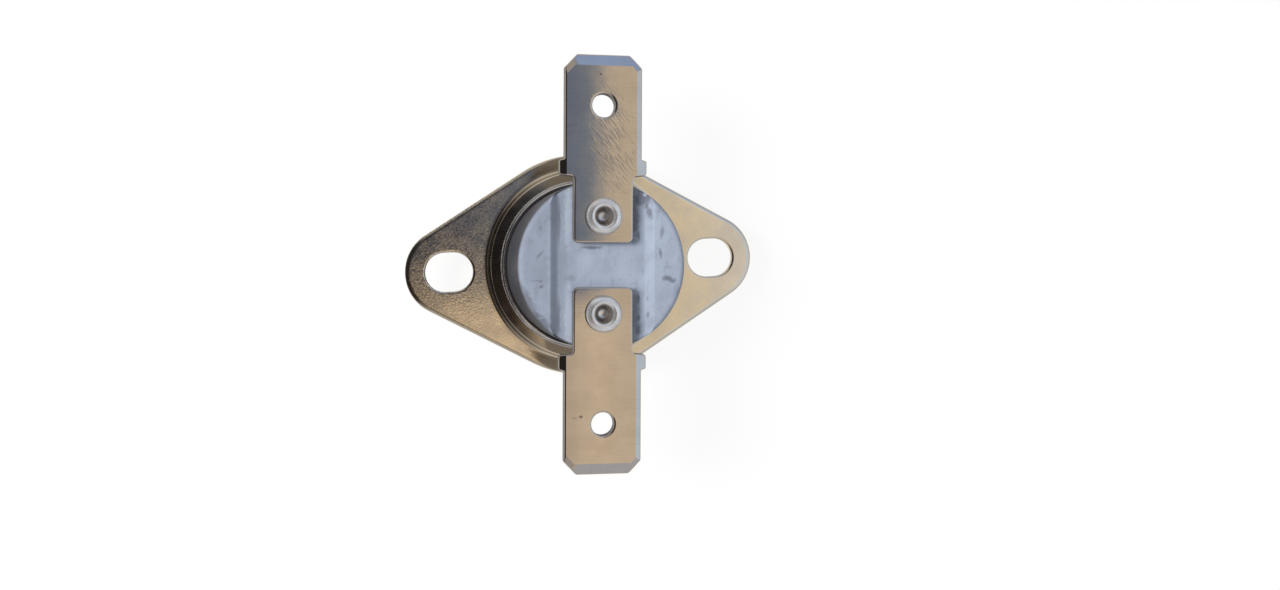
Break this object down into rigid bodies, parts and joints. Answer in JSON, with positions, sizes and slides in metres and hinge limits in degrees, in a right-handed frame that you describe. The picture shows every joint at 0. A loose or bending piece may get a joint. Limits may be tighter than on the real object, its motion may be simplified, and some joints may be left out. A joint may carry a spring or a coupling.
{
  "type": "snap-disc thermal cutoff",
  "caption": "Round ceramic thermal cutoff with a metal sensing cap, opposed flat quick-connect tabs and a turning slotted bracket.",
  "frame": {"origin": "middle of the cap's flat sensing face", "axes": "+Z from the sensing face along the body's axis to the tabs, +Y along the tabs, X roughly along the bracket"},
  "size_m": [0.0312, 0.0336, 0.0127],
  "materials": {
    "ceramic": "matt steatite",
    "tinned_tab": "tin plated, rolled and stamped",
    "nickel_plate": "nickel plated, fine orange peel",
    "cap_metal": "drawn, satin",
    "rivet_metal": "bright plated",
    "spring_copper": "rolled spring sheet",
    "contact_silver": "silver, satin",
    "bimetal": "rolled"
  },
  "bodies": {
    "housing": {"ceramic_base": "ceramic", "sensor_cap": "cap_metal", "guide_plate": "ceramic", "terminal_upper": "tinned_tab", "terminal_lower": "tinned_tab", "rivet_upper": "rivet_metal", "rivet_lower": "rivet_metal", "fixed_contact_plate": "spring_copper", "fixed_contact": "contact_silver"},
    "bracket": {"mounting_bracket": "nickel_plate"},
    "disc": {"bimetal_disc": "bimetal"},
    "pin": {"push_pin": "ceramic"},
    "arm": {"contact_arm": "spring_copper", "moving_contact": "contact_silver"}
  },
  "joints": [
    {"name": "bracket_turn", "type": "hinge", "parent": "housing", "child": "bracket", "pos_m": [0, 0, 0.003], "axis": [0, 0, 1], "continuous": true},
    {"name": "disc_snap", "type": "slide", "parent": "housing", "child": "disc", "axis": [0, 0, 1], "range_m": [0, 0.00035]},
    {"name": "pin_slide", "type": "slide", "parent": "housing", "child": "pin", "axis": [0, 0, 1], "range_m": [0, 0.00036]},
    {"name": "arm_bend", "type": "hinge", "parent": "housing", "child": "arm", "pos_m": [0, -0.0039, 0.00843], "axis": [1, 0, 0], "range_deg": [0, 5.2], "stiffness_Nm_per_rad": 0.01, "springref_deg": -1.72}
  ],
  "couplings": [
    {"joint": "pin_slide", "follows": "disc_snap", "ratio": 1},
    {"joint": "arm_bend", "follows": "disc_snap", "rad_per_m": 256.41}
  ]
}
